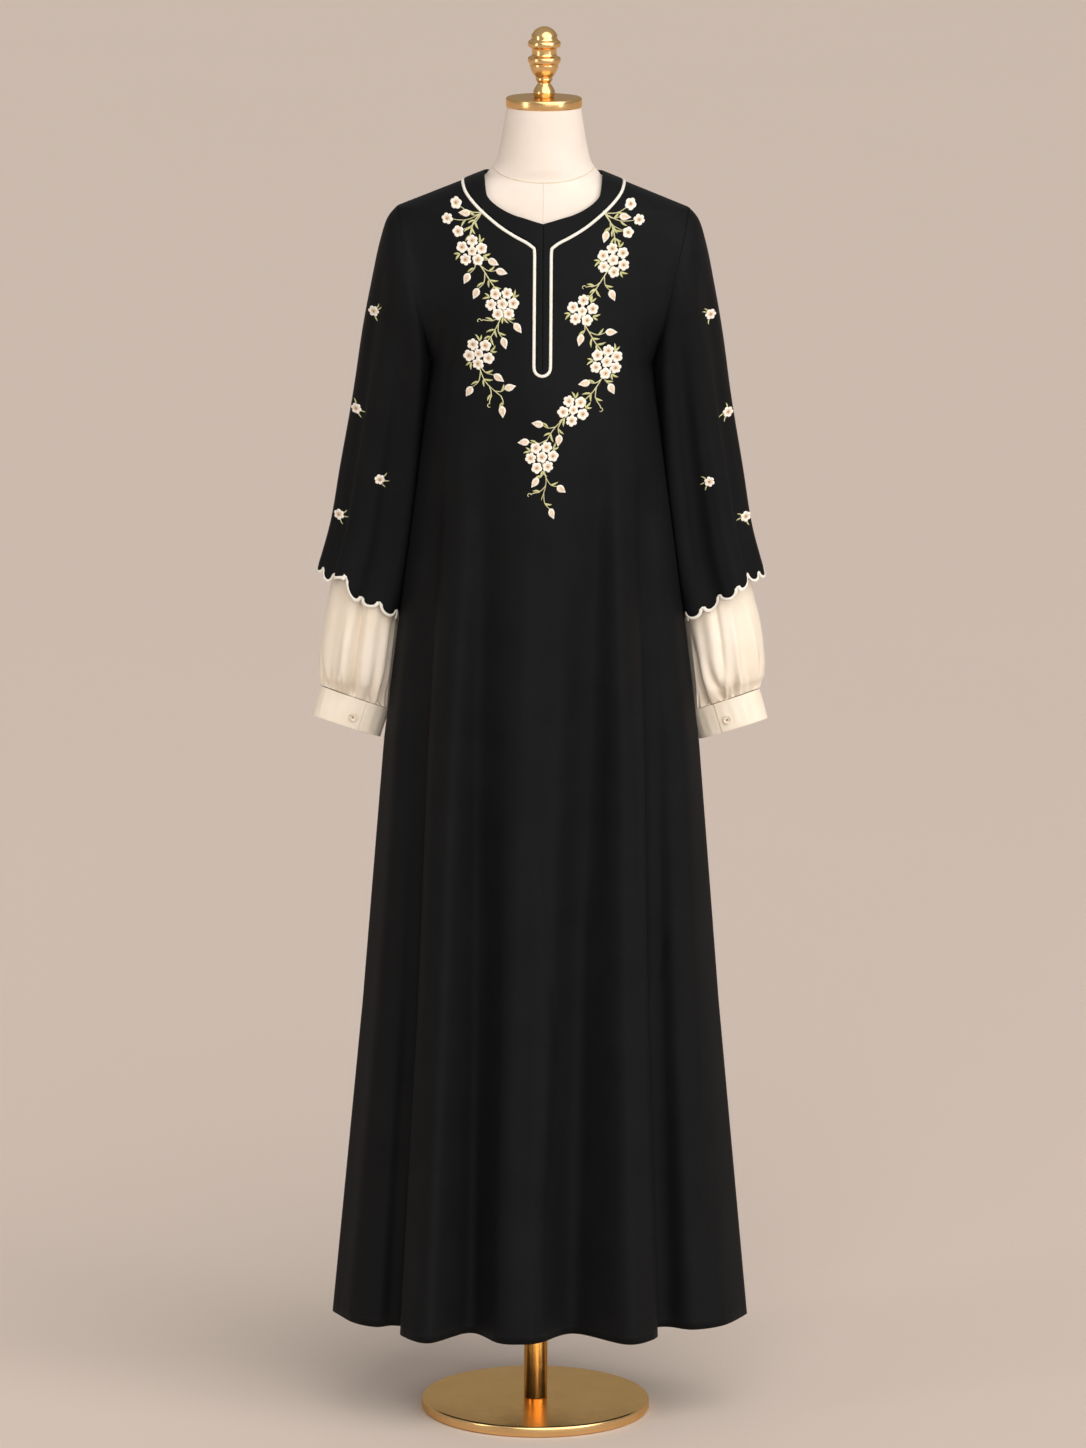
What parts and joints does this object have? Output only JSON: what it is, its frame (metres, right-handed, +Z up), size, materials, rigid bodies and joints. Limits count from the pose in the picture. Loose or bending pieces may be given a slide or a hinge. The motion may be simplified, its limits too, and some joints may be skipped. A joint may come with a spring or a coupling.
{
  "type": "abaya on a dress form",
  "caption": "Long flared black abaya with scalloped bell sleeves over gathered cream sleeves, on a limbless dress form with a brass stand.",
  "frame": {"origin": "centre of the round base's underside, on the axis of the pole", "axes": "+Z up along the pole, -Y the garment's front, +X the right-hand side seen from the front"},
  "size_m": [0.5696, 0.3123, 1.7787],
  "materials": {
    "black_crepe": "matt crepe with a faint soft sheen",
    "cream_cord": "satin-stitched cream edging and piping",
    "ivory_satin": "soft ivory satin",
    "form_cover": "fine cream cover, seamed",
    "brass": "polished warm brass",
    "button_shell": "small pale shell button"
  },
  "bodies": {
    "root": {"front_panel": "black_crepe", "back_panel": "black_crepe", "neckband_left": "black_crepe", "neckband_right": "black_crepe", "neckband_back": "black_crepe", "piping": "cream_cord", "outer_sleeve_left": "black_crepe", "outer_sleeve_right": "black_crepe", "scallop_edging_left": "cream_cord", "scallop_edging_right": "cream_cord", "inner_sleeve_left": "ivory_satin", "inner_sleeve_right": "ivory_satin", "cuff_left": "ivory_satin", "cuff_right": "ivory_satin", "button_left": "button_shell", "button_right": "button_shell", "dress_form": "form_cover", "neck_cap": "brass", "finial": "brass", "pole": "brass", "base_disc": "brass"}
  },
  "joints": []
}
